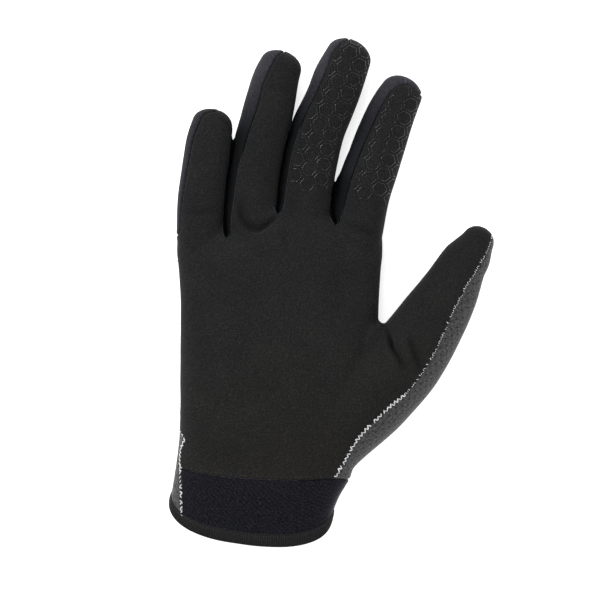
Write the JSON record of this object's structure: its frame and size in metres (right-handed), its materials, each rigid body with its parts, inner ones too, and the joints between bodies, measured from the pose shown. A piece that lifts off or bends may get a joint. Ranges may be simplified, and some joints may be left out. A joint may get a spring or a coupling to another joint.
{
  "type": "riding glove",
  "caption": "Right-hand slip-on riding glove with suede palm, knit back, stretch finger side strips, plain wrist band and bound hem, filled out as on a hand.",
  "frame": {"origin": "on the resting surface, under the centre of the glove's bounding box", "axes": "+Y from the wrist to the fingertips, +X to the thumb side, +Z out of the palm; the glove lies on its back with the palm up"},
  "size_m": [0.1533, 0.2403, 0.0355],
  "materials": {
    "suede": "matte brown-black synthetic suede",
    "grey_knit": "grey melange knit, matte",
    "navy_stretch": "navy stretch fabric with a soft sheen",
    "cuff_cloth": "navy-black brushed knit over thin foam",
    "ribbed_tape": "black ribbed tape"
  },
  "bodies": {
    "root": {"palm_panel": "suede", "back_panel": "grey_knit", "little_side_strip": "navy_stretch", "little_ring_strip": "navy_stretch", "ring_middle_strip": "navy_stretch", "middle_index_strip": "navy_stretch", "wrist_cuff": "cuff_cloth", "hem_binding": "ribbed_tape"}
  },
  "joints": []
}
